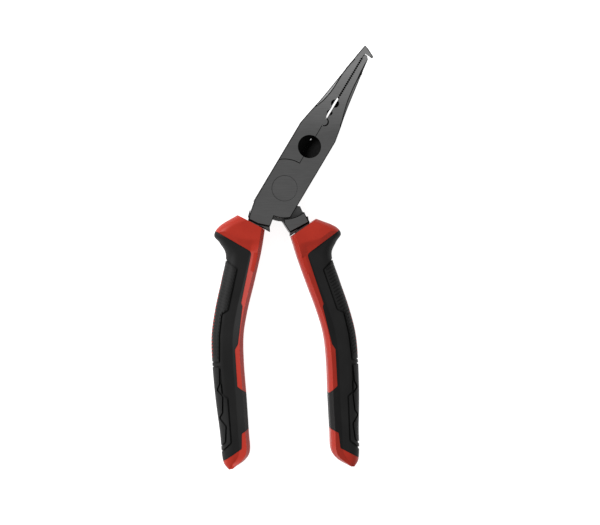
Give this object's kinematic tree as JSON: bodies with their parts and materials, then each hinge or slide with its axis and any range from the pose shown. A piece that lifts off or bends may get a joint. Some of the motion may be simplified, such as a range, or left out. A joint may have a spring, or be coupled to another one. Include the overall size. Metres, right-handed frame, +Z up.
{
  "type": "long-nose pliers",
  "caption": "Bent long-nose pliers in dark steel with a side cutter, serrated jaws, a hooked tip and red and black two-part handles.",
  "frame": {"origin": "centre of the tool's footprint as it lies on its back, at the height of the lowest faces of the handles", "axes": "+X across the handles to the right handle, +Y from the handle ends to the jaws' tip, +Z up through the thickness"},
  "size_m": [0.0792, 0.2064, 0.0168],
  "materials": {
    "blackened_steel": "fine ground and blackened",
    "rivet_steel": "ground flush with the head",
    "red_hard_plastic": "satin moulded",
    "black_soft_plastic": "fine matt moulded",
    "black_pad_rubber": "matt, finely ribbed"
  },
  "bodies": {
    "front_half": {"front_lever": "blackened_steel", "pivot_rivet": "rivet_steel", "left_handle_core": "red_hard_plastic", "left_overmould": "black_soft_plastic", "left_grip_pad": "black_pad_rubber", "left_finger_pad": "black_pad_rubber"},
    "rear_half": {"rear_lever": "blackened_steel", "right_handle_core": "red_hard_plastic", "right_overmould": "black_soft_plastic", "right_grip_pad": "black_pad_rubber", "right_finger_pad": "black_pad_rubber"}
  },
  "joints": [
    {"name": "jaw_pivot", "type": "hinge", "parent": "front_half", "child": "rear_half", "pos_m": [-0.00428, 0.03323, 0.0084], "axis": [0, 0, 1], "range_deg": [0, 32]}
  ]
}
